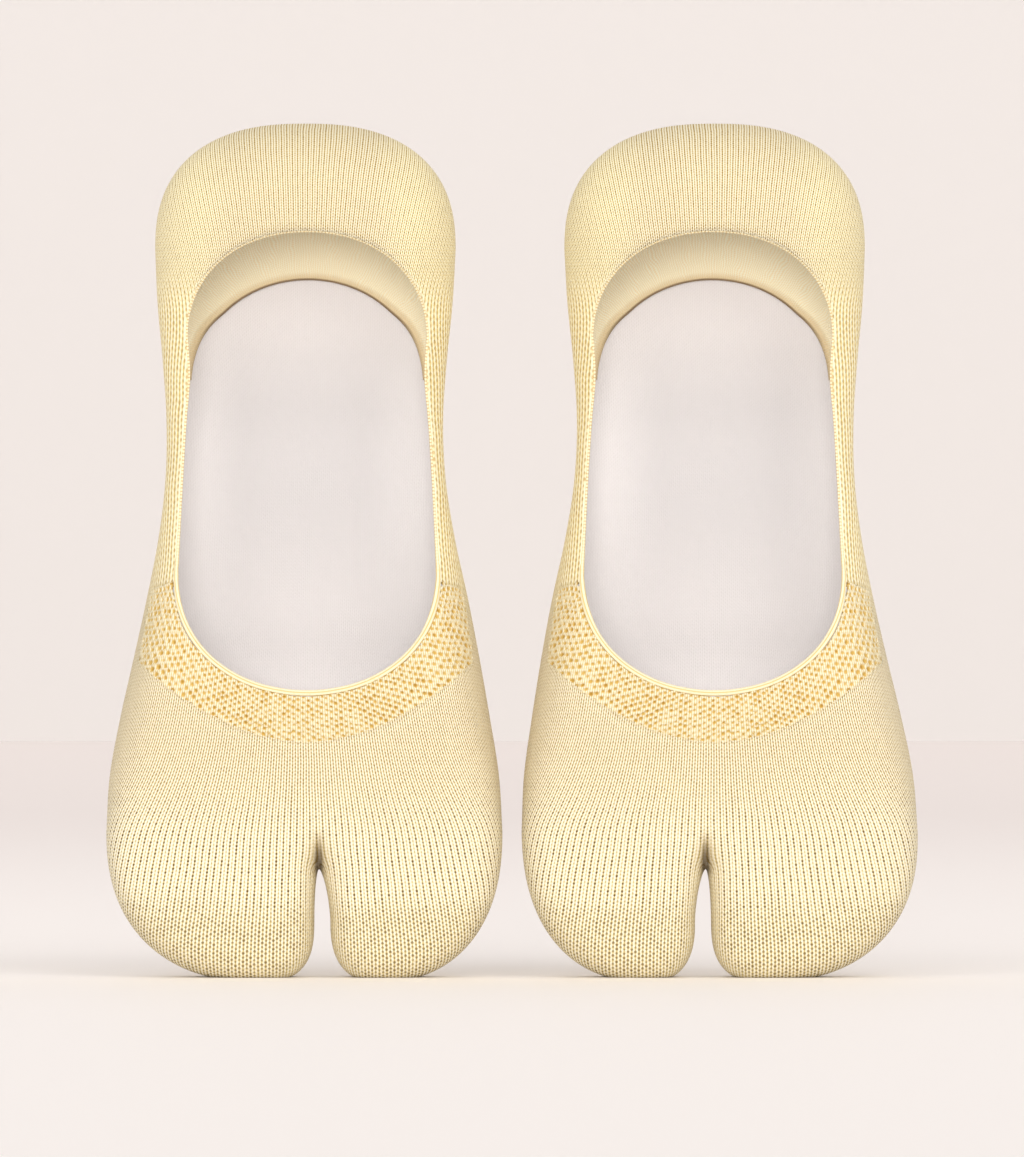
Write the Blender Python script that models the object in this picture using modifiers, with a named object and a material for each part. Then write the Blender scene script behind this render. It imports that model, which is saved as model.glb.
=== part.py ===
"""A pair of split-toe (tabi) no-show socks, standing on their toes with their openings forward.

Frame: +Z up, metres. The openings face -Y, the soles face +Y, the heels are up, and the two big toes
lie towards the middle of the pair. Lengths below are millimetres; new_object() makes them metres.

A sock is one knitted shell, filled out as it is on a foot. Its form is a set of loops that run round
the opening: from the opening's edge over the instep to the outline, which is where the cloth turns
from the front to the sole, and from there over the sole to its middle line. One column of points
crosses all the loops. The local x of a sock runs towards its big toe.
"""

import math

import bmesh
import bpy
import numpy as np

MM = 0.001

# Driving sizes of one sock.
LENGTH = 230.0
WALL = 1.2
SEAM_GAP = 0.44
BAND_GAP = 0.8  # wider than the other seams, because the walls lean together at the band's corners
TOE_SPACING = 112.4  # between the middles of the two socks' toes
TOE_PRESS = 1.4  # how far the weight of the sock flattens its toe tips

# Outline of the heel, a rounded arch on the flanks.
HEEL_SPRING_Z = 196.0
HEEL_HALF_WIDTH = 40.5
HEEL_CURVE = 2.45

# Outline of the flanks.
FLANK = np.array(
    [
        # z, half width, middle
        (39.0, 53.4, 0.0),
        (54.0, 52.5, 0.0),
        (70.0, 49.8, 0.2),
        (86.0, 46.6, 0.6),
        (102.0, 43.3, 0.8),
        (118.0, 40.0, 0.6),
        (134.0, 37.8, 0.3),
        (150.0, 37.3, 0.1),
        (166.0, 38.3, 0.1),
        (182.0, 39.8, 0.2),
        (196.0, 40.5, 0.3),
    ]
)

# The two toe stalls and the cleft between them. Side -1 holds the four small toes, side 1 the big toe.
STALL_TOP_Z = 39.0
OUTER_CURVE = 2.3
CLEFT_X = 4.0
CLEFT_TOP_Z = 29.0
CLEFT_FOOT_Z = 15.0
CLEFT_CROWDING = 1.8  # how much closer the columns lie at the top of the cleft than beside it
CREASE_TOP_Z = 41.0  # from the cleft up to here the cloth is drawn in between the stalls
CREASE_RADIUS, CREASE_CURVE = 6.0, 2.6
CREASE_LEAST = 0.3  # the share of the depth that is left at the foot of the crease
STALLS = {
    # side: x of the lowest point, curve of the inner corner, half width of the cleft, curve of the cleft
    -1: {"tip_x": -12.0, "corner": 2.75, "cleft": 1.3, "cleft_curve": 2.0},
    1: {"tip_x": 20.0, "corner": 2.5, "cleft": 3.0, "cleft_curve": 1.5},
}

# The opening's edge: an arch under the heel, two long sides and a round throat over the toes.
OPENING_X = 1.0
ARCH_Z, ARCH_HALF_WIDTH, ARCH_HEIGHT, ARCH_CURVE = 172.0, 32.5, 28.0, 2.1
THROAT_Z, THROAT_HALF_WIDTH, THROAT_DEPTH, THROAT_CURVE = 110.0, 35.0, 32.6, 2.15
OPENING_SIDE = np.array(
    [
        # z, half width
        (THROAT_Z, THROAT_HALF_WIDTH),
        (130.0, 34.1),
        (150.0, 32.9),
        (162.0, 31.9),
        (ARCH_Z, ARCH_HALF_WIDTH),
    ]
)

# Depth: how far the cloth stands in front of the outline and behind it, and where the outline is.
DEPTH = np.array(
    [
        # z, outline y, in front, behind
        (0.0, 0.0, 13.5, 13.0),
        (15.0, 0.0, 14.5, 14.0),
        (40.0, 0.5, 17.5, 15.0),
        (60.0, 1.0, 21.5, 15.5),
        (77.0, 1.5, 26.0, 14.5),
        (100.0, 2.0, 27.0, 11.5),
        (130.0, 2.5, 21.5, 8.5),
        (160.0, 1.5, 20.5, 11.5),
        (180.0, 0.5, 23.5, 14.5),
        (200.0, 0.0, 28.0, 16.0),
        (230.0, 0.0, 29.0, 16.0),
    ]
)
FRONT_FALL, BACK_FALL = 0.22, 0.12  # how much shallower the flanks are than the middle
FALL_CURVE = 2.4

# The open-mesh band round the throat, the rounded elastic edge and the lining in the heel.
BAND_TOP_Z = 104.0
BAND_CORNER_Z = 84.0
BAND_BOTTOM_Z = 63.6
BAND_HALF_WIDTH = 46.0
BAND_CURVE = 1.9
EDGE_RADIUS = 0.8
EDGE_SIDES = 6
EDGE_DEPTH = 2 * EDGE_RADIUS + SEAM_GAP  # how far back from the opening the knit ends, for the edge
LINING_X, LINING_Z, LINING_HALF_WIDTH, LINING_HEIGHT = 0.8, 158.5, 32.0, 30.3
LINING_WALL = 1.0
LINED_FLANK_COLUMNS = 3
LINING_FIRST_STEP = 2

# Columns of points in one half of a sock, from the middle of the heel down to the top of the cleft.
# A stretch's numbers hold at its end: the fraction of the opening's edge, the fraction of the band's
# lower edge, the shares of the way from outline to opening where the shoulder and the band lie, and
# the radius over which the cloth turns at the outline, in front and behind.
STRETCHES = [
    # name, columns, opening, band, shoulder share, band share, front turn, back turn
    ("heel", 8, 0.195, 0.0, 0.30, 0.52, 20.0, 18.0),
    ("flank", 8, 0.69, 0.0, 0.07, 0.15, 14.0, 12.0),
    ("band end", 2, 0.785, 0.28, 0.06, 0.12, 13.0, 12.0),
    ("ball", 4, 0.865, 0.47, None, None, 11.0, 11.0),
    ("outer toe", 7, 0.93, 0.68, None, None, 11.0, 11.0),
    ("inner toe", 4, 0.955, 0.75, None, None, 11.0, 11.0),
    ("cleft", 5, 1.0, 1.0, None, None, 11.0, 11.0),
]
HEEL_START = {"opening": 0.0, "shoulder": 0.33, "band": 0.55, "front": 24.0, "back": 22.0}
TURN_STEPS = (0.04, 0.1273, 0.36, 0.7, 1.0)
INSTEP_STEPS = 3
BAND_STEPS = 2
SOLE_STEPS = 2
BRANCH_Z = (58.0, 31.0, 17.0)  # the sole's middle line: its fork, its bend and its end in each stall

SOCKS = {
    # name: turned about x (1 or -1), how far the upper part bends towards the big toe
    "right": (1, 0.0),
    "left": (-1, 1.5),
}
BEND_HEIGHT = 110.0


def smooth_table(table, z, column):
    """The column's value at z on a smooth curve through the table's rows."""
    heights, values = table[:, 0], table[:, column]
    slopes = np.gradient(values, heights)
    z = min(max(z, heights[0]), heights[-1])
    i = min(int(np.searchsorted(heights, z, side="right")) - 1, len(heights) - 2)
    step = heights[i + 1] - heights[i]
    t = (z - heights[i]) / step
    start = (1 + 2 * t) * (1 - t) ** 2 * values[i] + t * (1 - t) ** 2 * step * slopes[i]
    end = t * t * (3 - 2 * t) * values[i + 1] + t * t * (t - 1) * step * slopes[i + 1]
    return start + end


def arch(t, half_width, height, curve):
    """A point of a rounded quarter arch: t is 0 at its top and 1 at its side."""
    angle = t * math.pi / 2
    across = half_width * max(math.sin(angle), 0.0) ** (2 / curve)
    up = height * max(math.cos(angle), 0.0) ** (2 / curve)
    return across, up


def outline_point(side, stretch, t, inset):
    """A point of the outline seen from the front, moved inwards by inset; t runs along the stretch."""
    stall = STALLS[side]
    if stretch == "heel":
        across, up = arch(t, HEEL_HALF_WIDTH - inset, LENGTH - HEEL_SPRING_Z - inset, HEEL_CURVE)
        return smooth_table(FLANK, HEEL_SPRING_Z, 2) + side * across, HEEL_SPRING_Z + up
    if stretch == "outer toe":
        half_width = FLANK[0, 1] - abs(stall["tip_x"]) - inset
        across, down = arch(1 - t, half_width, STALL_TOP_Z + TOE_PRESS - inset, OUTER_CURVE)
        return stall["tip_x"] + side * across, STALL_TOP_Z - down
    reach = stall["cleft"] + inset
    if stretch == "inner toe":
        half_width = abs(CLEFT_X + side * reach - stall["tip_x"])
        across, down = arch(t, half_width, CLEFT_FOOT_Z + TOE_PRESS - inset, stall["corner"])
        return stall["tip_x"] - side * across, CLEFT_FOOT_Z - down
    if stretch == "cleft":
        across, up = arch(1 - t, reach, CLEFT_TOP_Z - CLEFT_FOOT_Z + inset, stall["cleft_curve"])
        return CLEFT_X + side * across, CLEFT_FOOT_Z + up
    z = stretch_z(stretch, t)
    return smooth_table(FLANK, z, 2) + side * (smooth_table(FLANK, z, 1) - inset), z


def stretch_z(stretch, t):
    """The height on the flank of a point of one of its stretches."""
    ends = {
        "flank": (HEEL_SPRING_Z, BAND_TOP_Z),
        "band end": (BAND_TOP_Z, BAND_CORNER_Z),
        "ball": (BAND_CORNER_Z, STALL_TOP_Z),
    }[stretch]
    return ends[0] + t * (ends[1] - ends[0])


def walk(points, fractions):
    """The points at these fractions of a polyline's length."""
    points = np.array(points)
    along = np.concatenate([[0.0], np.cumsum(np.linalg.norm(np.diff(points, axis=0), axis=1))])
    wanted = np.array(fractions) * along[-1]
    return np.stack([np.interp(wanted, along, points[:, k]) for k in (0, 1)], axis=1)


def even_steps(side, stretch, count):
    """Parameters of count columns spaced evenly along a stretch; both flanks share the same ones."""
    if stretch == "cleft":
        return 1 - (1 - np.arange(1, count + 1) / count) ** CLEFT_CROWDING
    fine = np.linspace(0, 1, 201)
    measured_on = side if stretch in ("outer toe", "inner toe") else 1
    line = np.array([outline_point(measured_on, stretch, t, 0.0) for t in fine])
    along = np.concatenate([[0.0], np.cumsum(np.linalg.norm(np.diff(line, axis=0), axis=1))])
    return np.interp(np.arange(1, count + 1) / count * along[-1], along, fine)


def opening_line(side):
    """The opening's edge in one half, from the middle of the heel to the middle of the throat."""
    points = []
    for t in np.linspace(0, 1, 61):
        across, up = arch(t, ARCH_HALF_WIDTH, ARCH_HEIGHT, ARCH_CURVE)
        points.append((OPENING_X + side * across, ARCH_Z + up))
    for z in np.linspace(ARCH_Z, THROAT_Z, 61)[1:]:
        points.append((OPENING_X + side * smooth_table(OPENING_SIDE, z, 1), z))
    for t in np.linspace(1, 0, 61)[1:]:
        across, down = arch(t, THROAT_HALF_WIDTH, THROAT_DEPTH, THROAT_CURVE)
        points.append((OPENING_X + side * across, THROAT_Z - down))
    return points


def band_line(side, start, corner):
    """The band's outer edge in one half: down the flank, then along the instep to its middle."""
    points = [start]
    for x in np.linspace(abs(corner[0] - OPENING_X), 0, 61):
        rise = (x / abs(corner[0] - OPENING_X)) ** BAND_CURVE
        points.append((OPENING_X + side * x, BAND_BOTTOM_Z + (corner[1] - BAND_BOTTOM_Z) * rise))
    return points


def columns_of(side):
    """The columns of one half, from the middle of the heel to the top of the cleft."""
    columns = []
    last = HEEL_START | {"band_fraction": 0.0}
    for name, count, opening, band, shoulder_share, band_share, front, back in STRETCHES:
        ends = {
            "opening": opening,
            "band_fraction": band,
            "shoulder": shoulder_share,
            "band": band_share,
            "front": front,
            "back": back,
        }
        places = even_steps(side, name, count)
        if not columns:
            places = np.concatenate([[0.0], places])
        for number, t in enumerate(places, start=1 if columns else 0):
            share = number / count
            column = {"side": side, "stretch": name, "t": float(t), "end": share == 1}
            column["lined"] = name == "heel" or name == "flank" and number <= LINED_FLANK_COLUMNS
            for key, value in ends.items():
                before = last[key]
                column[key] = None if value is None else before + (value - before) * share
            columns.append(column)
        last = {key: (last[key] if value is None else value) for key, value in ends.items()}
    return columns


def place_columns(side):
    """The columns of one half with their places on the outline, the shoulder, the band and the opening."""
    columns = columns_of(side)
    edge = opening_line(side)
    for column, opening in zip(columns, walk(edge, [c["opening"] for c in columns])):
        column["opening_at"] = opening
        column["outline_at"] = np.array(outline_point(side, column["stretch"], column["t"], 0.0))
    on_flank = [c for c in columns if c["band"] is not None]
    for column in on_flank:
        way = column["opening_at"] - column["outline_at"]
        column["shoulder_at"] = column["outline_at"] + column["shoulder"] * way
        column["band_at"] = column["outline_at"] + column["band"] * way
    tops = [c["band_at"] for c in columns if c["end"] and c["stretch"] in ("flank", "band end")]
    line = band_line(side, *tops)
    below = columns[len(on_flank) :]
    for column, band in zip(below, walk(line, [c["band_fraction"] for c in below])):
        column["band_at"] = band
        inset = column["front"]
        if column["stretch"] == "ball":
            inset *= column["t"] ** 0.8
            inset = max(inset, 0.8)
        column["shoulder_at"] = np.array(
            outline_point(side, column["stretch"], column["t"], inset)
        )
    return columns


def turned(distance, radius, curve):
    """The share of the full depth that the cloth has at this distance from the outline."""
    share = min(distance / radius, 1.0)
    return (1 - (1 - share) ** curve) ** (1 / curve)


def smooth_step(value, start, end):
    share = min(max((value - start) / (end - start), 0.0), 1.0)
    return share * share * (3 - 2 * share)


def crease_share(x, z):
    """The share of the depth that the crease above the cleft leaves."""
    beside = turned(abs(x - CLEFT_X), CREASE_RADIUS, CREASE_CURVE)
    above = smooth_step(z, CLEFT_TOP_Z, CREASE_TOP_Z)
    left = CREASE_LEAST + (1 - CREASE_LEAST) * (above + (1 - above) * beside)
    return 1 - smooth_step(z, CLEFT_TOP_Z - 3, CLEFT_TOP_Z + 1) * (1 - left)


def surface_point(x, z, distance, radius, front):
    """The point of the cloth at x and z, this far inside the outline, in front or behind."""
    z_held = min(max(z, 0.0), LENGTH)
    half_width = smooth_table(FLANK, min(max(z_held, STALL_TOP_Z), HEEL_SPRING_Z), 1)
    fall = FRONT_FALL if front else BACK_FALL
    depth = smooth_table(DEPTH, z_held, 2 if front else 3)
    depth *= 1 - fall * min(abs(x) / half_width, 1.0) ** FALL_CURVE
    toe_share = min(max((60.0 - z_held) / 40.0, 0.0), 1.0)
    curve = (2.4 if front else 3.0) + (0.6 if front else 0.0) * toe_share
    y = smooth_table(DEPTH, z_held, 1)
    y += (-1 if front else 1) * depth * turned(distance, radius, curve) * crease_share(x, z)
    return np.array((x, y, max(z, 0.0)))


def front_path(column, edge_inset):
    """The column's points in front, from the outline to the opening's edge moved back by edge_inset."""
    outline, shoulder = column["outline_at"], column["shoulder_at"]
    band, opening = column["band_at"], column["opening_at"]
    flat = [outline]
    flat += [outline + step * (shoulder - outline) for step in TURN_STEPS]
    for i in range(1, INSTEP_STEPS + 1):
        flat.append(shoulder + (band - shoulder) * i / INSTEP_STEPS)
    way = opening - band
    reach = np.linalg.norm(way)
    for i in range(1, BAND_STEPS + 1):
        flat.append(band + way * i / BAND_STEPS * (1 - edge_inset / reach))
    return [
        surface_point(p[0], p[1], travelled(flat, i), column["front"], True)
        for i, p in enumerate(flat)
    ]


def lining_rim(outline):
    """Where the lining's lower rim, half an ellipse, lies on the way in from a point of the outline."""
    way = outline - np.array((LINING_X, LINING_Z))
    reach = math.hypot(way[0] / LINING_HALF_WIDTH, way[1] / LINING_HEIGHT)
    return np.array((LINING_X, LINING_Z)) + way / reach


def travelled(path, index):
    """The length of a flat path up to a point of it."""
    return sum(float(np.linalg.norm(path[i + 1] - path[i])) for i in range(index))


def middle_line(column, from_fork):
    """The point of the sole's middle line that a column ends on: a stem with a branch to each stall."""
    side = column["side"]
    stretch, t = column["stretch"], column["t"]
    if stretch == "heel":
        return np.array((0.3, 182.0 - 10.0 * t))
    if stretch in ("flank", "band end", "ball"):
        z = column["outline_at"][1]
        share = (HEEL_SPRING_Z - z) / (HEEL_SPRING_Z - STALL_TOP_Z)
        return np.array((0.3 + 3.0 * share, 172.0 - 114.0 * share))
    counts = {name: count for name, count, *_ in STRETCHES}
    steps = (0, counts["cleft"], counts["cleft"] + counts["inner toe"])
    tip_x = STALLS[side]["tip_x"]
    across = np.interp(from_fork, steps, (3.3, tip_x, tip_x))
    return np.array((across, np.interp(from_fork, steps, BRANCH_Z)))


def back_path(column, from_fork):
    """The column's points behind, from the outline to the sole's middle line."""
    side, stretch, t, radius = (column[key] for key in ("side", "stretch", "t", "back"))
    outline = column["outline_at"]
    points = []
    for step in TURN_STEPS:
        if column["lined"]:
            at = outline + step * (lining_rim(outline) - outline)
        else:
            at = np.array(outline_point(side, stretch, t, step * radius))
        inside = float(np.linalg.norm(at - outline)) if column["lined"] else step * radius
        points.append(surface_point(at[0], at[1], inside, radius, False))
    middle = middle_line(column, from_fork)
    for i in range(1, SOLE_STEPS + 1):
        flat = at + (middle - at) * i / SOLE_STEPS
        further = inside + float(np.linalg.norm(flat - at))
        points.append(surface_point(flat[0], flat[1], further, radius, False))
    return points


def half_rows(side, edge_inset):
    """All the points of one half: a row for each column, from the opening over the front to the sole."""
    rows = []
    columns = place_columns(side)
    outer = 0
    for number, column in enumerate(columns):
        from_fork = len(columns) - 1 - number
        if column["stretch"] == "outer toe":
            outer += 1
            from_fork = outer
        front = front_path(column, edge_inset)[::-1]
        rows.append(front + back_path(column, from_fork))
    return rows


def sock_grid(edge_inset):
    """The points of a whole sock, one list a column, round from the heel over both halves."""
    small_toes = half_rows(-1, edge_inset)
    big_toe = half_rows(1, edge_inset)
    return small_toes + big_toe[-2:0:-1]


def new_object(name, collection, material, sheet, wall=WALL):
    """An object from a bmesh in millimetres, made a wall by Solidify, which works inwards."""
    mesh = bpy.data.meshes.new(name)
    bmesh.ops.scale(sheet, vec=(MM, MM, MM), verts=sheet.verts)
    sheet.to_mesh(mesh)
    sheet.free()
    for polygon in mesh.polygons:
        polygon.use_smooth = True
    mesh.materials.append(material)
    obj = bpy.data.objects.new(name, mesh)
    collection.objects.link(obj)
    if wall:
        shell = obj.modifiers.new("cloth wall", "SOLIDIFY")
        shell.thickness = wall * MM
        shell.offset = -1.0
        shell.use_even_offset = False
        shell.use_rim = True
    return obj


def cloth(name, colour, roughness):
    material = bpy.data.materials.new(name)
    material.use_nodes = True
    shader = material.node_tree.nodes["Principled BSDF"]
    shader.inputs["Base Color"].default_value = (*colour, 1.0)
    shader.inputs["Roughness"].default_value = roughness
    shader.inputs["Metallic"].default_value = 0.0
    return material


def turned_out(points, turn, bend):
    """Points of a sock bent at the instep and set beside the other sock."""
    points = np.array(points, float)
    share = np.clip(points[..., 2] / BEND_HEIGHT, 0, 1)
    x = points[..., 0] + bend * share * share * (3 - 2 * share)
    points[..., 0] = turn * (x - TOE_SPACING / 2)
    return points


def footprint_middle():
    """The middle of the pair's box in x and y, which becomes the origin."""
    grid = sock_grid(EDGE_DEPTH)
    both = np.concatenate([turned_out(grid, *sock).reshape(-1, 3) for sock in SOCKS.values()])
    middle = (both.min(axis=0) + both.max(axis=0)) / 2
    return np.array((middle[0], middle[1], 0.0))


def placed(points, turn, bend):
    """Points of a sock moved to its place in the pair, with the pair's footprint round the origin."""
    return turned_out(points, turn, bend) - ORIGIN


def sheet_from(grid, turn, closed, keep=None):
    """A bmesh of a grid of points, a list for each column, with its faces towards the outside."""
    sheet = bmesh.new()
    verts = [[sheet.verts.new(p) for p in column] for column in grid]
    count = len(grid)
    for i in range(count if closed else count - 1):
        for j in range(len(grid[0]) - 1):
            if keep and not keep(i, j):
                continue
            here, there = verts[i], verts[(i + 1) % count]
            ring = [here[j], there[j], there[j + 1], here[j + 1]]
            sheet.faces.new(ring[::-1] if turn > 0 else ring)
    bmesh.ops.remove_doubles(sheet, verts=sheet.verts, dist=0.01)
    loose = [v for v in sheet.verts if not v.link_faces]
    bmesh.ops.delete(sheet, geom=loose, context="VERTS")
    return sheet


def drawn_in(grid, gap):
    """The grid with its last row and its end columns moved inwards by the gap."""
    grid = np.array(grid, float)

    def pull(edge, inner):
        way = inner - edge
        return edge + gap * way / np.linalg.norm(way, axis=-1, keepdims=True)

    moved = grid.copy()
    moved[:, -1] = pull(grid[:, -1], grid[:, -2])
    moved[0] += pull(grid[0], grid[1]) - grid[0]
    moved[-1] += pull(grid[-1], grid[-2]) - grid[-1]
    return moved


def band_columns():
    """The first and last column of the band in the whole sock's columns."""
    before = sum(count for name, count, *_ in STRETCHES if name in ("heel", "flank"))
    half = sum(count for _, count, *_ in STRETCHES)
    return before, 2 * half - before


def make_foot_and_band(name, turn, bend, collection, foot_cloth, band_cloth):
    """The knitted foot, with its hood and sole, and the open-mesh band that fills its throat."""
    grid = placed(sock_grid(EDGE_DEPTH), turn, bend)
    first, last = band_columns()

    def in_foot(i, j):
        return not (first <= i < last and j < BAND_STEPS)

    foot = sheet_from(grid, turn, True, in_foot)
    new_object(f"{name}_foot", collection, foot_cloth, foot)
    band = drawn_in(grid[first : last + 1, : BAND_STEPS + 1], BAND_GAP)
    new_object(f"{name}_throat_band", collection, band_cloth, sheet_from(band, turn, False))


def normals_of(grid, turn):
    """The outward normals of a sock's points, from the points on each side of every one."""
    round_it = np.roll(grid, -1, axis=0) - np.roll(grid, 1, axis=0)
    down_it = np.gradient(grid, axis=1)
    normals = np.cross(down_it, round_it) * turn
    return normals / np.linalg.norm(normals, axis=-1, keepdims=True)


def make_lining(name, turn, bend, collection, material):
    """The lining in the heel cup: it lies inside the back of the heel, down to its curved rim."""
    grid = placed(sock_grid(EDGE_DEPTH), turn, bend)
    outline_row = BAND_STEPS + INSTEP_STEPS + len(TURN_STEPS)
    rim_row = outline_row + len(TURN_STEPS)
    grid = grid[:, : rim_row + 1]
    inside = grid - normals_of(grid, turn) * (WALL + SEAM_GAP)
    half = sum(count for stretch, count, *_ in STRETCHES if stretch == "heel") + LINED_FLANK_COLUMNS
    columns = [i % len(grid) for i in range(-half, half + 1)]
    lining = sheet_from(inside[columns][:, outline_row + LINING_FIRST_STEP :], turn, False)
    new_object(f"{name}_heel_lining", collection, material, lining, wall=LINING_WALL)


def make_edge(name, turn, bend, collection, material):
    """The rounded elastic edge: a ring of round section that follows the opening."""
    edge = placed(sock_grid(0.0), turn, bend)[:, 0]
    back = placed(sock_grid(EDGE_DEPTH), turn, bend)[:, 0]
    inwards = (back - edge) / np.linalg.norm(back - edge, axis=1, keepdims=True)
    centres = edge + EDGE_RADIUS * inwards
    count = len(centres)
    ring = bmesh.new()
    sections = []
    for i in range(count):
        along = centres[(i + 1) % count] - centres[i - 1]
        along /= np.linalg.norm(along)
        across = inwards[i] - along * along.dot(inwards[i])
        across /= np.linalg.norm(across)
        outward = -turn * np.cross(along, across)
        centre = centres[i] - outward * WALL / 2
        section = []
        for k in range(EDGE_SIDES):
            angle = 2 * math.pi * (k + 0.5) / EDGE_SIDES
            spoke = math.cos(angle) * across + math.sin(angle) * outward
            section.append(ring.verts.new(centre + EDGE_RADIUS * spoke))
        sections.append(section)
    for i in range(count):
        here, there = sections[i], sections[(i + 1) % count]
        for k in range(EDGE_SIDES):
            n = (k + 1) % EDGE_SIDES
            ring.faces.new((here[k], here[n], there[n], there[k]))
    bmesh.ops.recalc_face_normals(ring, faces=ring.faces)
    new_object(f"{name}_elastic_edge", collection, material, ring, wall=0)


ORIGIN = footprint_middle()


def make_pair():
    for obj in list(bpy.data.objects):
        bpy.data.objects.remove(obj, do_unlink=True)
    collection = bpy.data.collections.new("pair of tabi socks")
    bpy.context.scene.collection.children.link(collection)
    foot_cloth = cloth("yellow plain knit", (0.90, 0.79, 0.46), 0.85)
    band_cloth = cloth("yellow open mesh knit", (0.88, 0.74, 0.37), 0.85)
    edge_cloth = cloth("yellow elastic edge", (0.86, 0.72, 0.36), 0.8)
    lining_cloth = cloth("beige heel lining", (0.78, 0.66, 0.45), 0.8)
    for name, (turn, bend) in SOCKS.items():
        make_foot_and_band(name, turn, bend, collection, foot_cloth, band_cloth)
        make_lining(name, turn, bend, collection, lining_cloth)
        make_edge(name, turn, bend, collection, edge_cloth)


make_pair()
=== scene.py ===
# %% [markdown]
# # A pair of split-toe socks
# Two low-cut socks in pale yellow knit stand on their toes, filled out as if a foot were still in
# them. Each one is a knitted shell with two toe stalls, an open-mesh band round the throat, a thin
# elastic edge and a smooth lining in the heel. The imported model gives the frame: its solids fix the
# size and the place of every piece, and this script makes the surfaces that show.

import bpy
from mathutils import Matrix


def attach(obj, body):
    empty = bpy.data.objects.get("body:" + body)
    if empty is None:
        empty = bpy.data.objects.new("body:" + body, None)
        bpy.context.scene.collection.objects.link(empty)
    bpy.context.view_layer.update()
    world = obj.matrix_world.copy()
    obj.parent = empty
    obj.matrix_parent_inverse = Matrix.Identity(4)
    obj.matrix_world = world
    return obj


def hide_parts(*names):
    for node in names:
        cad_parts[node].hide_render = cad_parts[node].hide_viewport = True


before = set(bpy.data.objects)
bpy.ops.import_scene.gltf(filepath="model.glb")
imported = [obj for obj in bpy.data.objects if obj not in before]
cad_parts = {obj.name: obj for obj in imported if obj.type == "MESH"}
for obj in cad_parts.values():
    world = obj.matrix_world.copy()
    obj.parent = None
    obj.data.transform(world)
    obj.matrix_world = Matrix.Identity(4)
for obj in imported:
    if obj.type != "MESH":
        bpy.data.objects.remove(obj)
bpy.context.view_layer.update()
print("solids:", ", ".join(sorted(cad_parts)))

# %% Modules
import math
from functools import partial

import bmesh
import bpy
import numpy as np
from mathutils import Matrix, Vector

MM = 0.001


def table(*rows):
    """Rows of numbers that start with the place they hold for. A smooth curve goes through them."""
    return np.array(rows)


# %% [markdown]
# ## The form of a sock
# A filled-out sock has no flat pattern that could be folded up in Blender, so its form is a height
# field: seen from the front it fills an outline, and every point stands forward or back by a depth
# that rises steeply from that outline, as cloth does where it turns round the side of a foot. The
# sizes are in millimetres, in the sock's own frame, where +x runs towards the big toe.

# %% Sizes of the outline
LENGTH = 230.0
WALL = 1.2
TOE_SPACING = 112.4
TOE_PRESS = 1.4
HEEL_SPRING_Z, HEEL_HALF_WIDTH, HEEL_CURVE = 196.0, 40.5, 2.45
FLANK = table(
    # z, half width, middle
    (39, 53.4, 0),
    (54, 52.5, 0),
    (70, 49.8, 0.2),
    (86, 46.6, 0.6),
    (102, 43.3, 0.8),
    (118, 40, 0.6),
    (134, 37.8, 0.3),
    (150, 37.3, 0.1),
    (166, 38.3, 0.1),
    (182, 39.8, 0.2),
    (196, 40.5, 0.3),
)
STALL_TOP_Z = 39.0
OUTER_CURVE = 2.3
CLEFT_X, CLEFT_FOOT_Z, CLEFT_TOP_Z = 4.0, 15.0, 29.0
CREASE_TOP_Z, CREASE_RADIUS, CREASE_FLOOR, CREASE_LEAST = 40.0, 5.0, 0.6, 0.25
STALLS = {
    -1: {"tip_x": -12.0, "corner": 2.75, "cleft": 1.3, "cleft_curve": 2.0},
    1: {"tip_x": 20.0, "corner": 2.5, "cleft": 3.0, "cleft_curve": 1.5},
}

# %% Sizes of the opening, the band and the lining
OPENING_X = 1.0
ARCH_Z, ARCH_HALF_WIDTH, ARCH_HEIGHT, ARCH_CURVE = 172.0, 32.5, 28.0, 2.1
THROAT_Z, THROAT_HALF_WIDTH, THROAT_DEPTH, THROAT_CURVE = 110.0, 35.0, 32.6, 2.15
OPENING_SIDE = table(
    # z, half width
    (THROAT_Z, THROAT_HALF_WIDTH),
    (130, 34.1),
    (150, 32.9),
    (162, 31.9),
    (ARCH_Z, ARCH_HALF_WIDTH),
)
BAND_TOP_Z, BAND_CORNER_Z, BAND_BOTTOM_Z, BAND_CURVE = 104.0, 84.0, 63.6, 1.9
EDGE_RADIUS = 0.8
LINING_X, LINING_Z, LINING_HALF_WIDTH, LINING_HEIGHT = 0.8, 158.5, 32.0, 29.7

# %% Depths in front of the outline and behind it
DEPTH = table(
    # z, outline y, in front, behind, front turn, back turn
    (0, 0, 13.5, 13, 11, 11),
    (15, 0, 14.5, 14, 11, 11),
    (40, 0.5, 17.5, 15, 11, 11),
    (60, 1, 21.5, 15.5, 11.6, 11.6),
    (77, 1.5, 26, 14.5, 12.4, 12),
    (100, 2, 27, 11.5, 13.8, 12),
    (130, 2.5, 21.5, 8.5, 15.5, 13),
    (160, 1.5, 20.5, 11.5, 17.5, 15),
    (180, 0.5, 23.5, 14.5, 19, 17),
    (200, 0, 28, 16, 20.5, 18.5),
    (230, 0, 29, 16, 24, 22),
)
FRONT_FALL, BACK_FALL, FALL_CURVE = 0.22, 0.12, 2.4
HEEL_EASE = 0.5
ORIGIN_X, ORIGIN_Y = -0.216, -6.161
SOCKS = {"right": (1, 0.0), "left": (-1, 1.5)}
BEND_HEIGHT = 110.0


# %% Smooth curves through the tables
def stacked(*columns):
    """Points from lists of their coordinates."""
    return np.stack(columns, -1)


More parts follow.
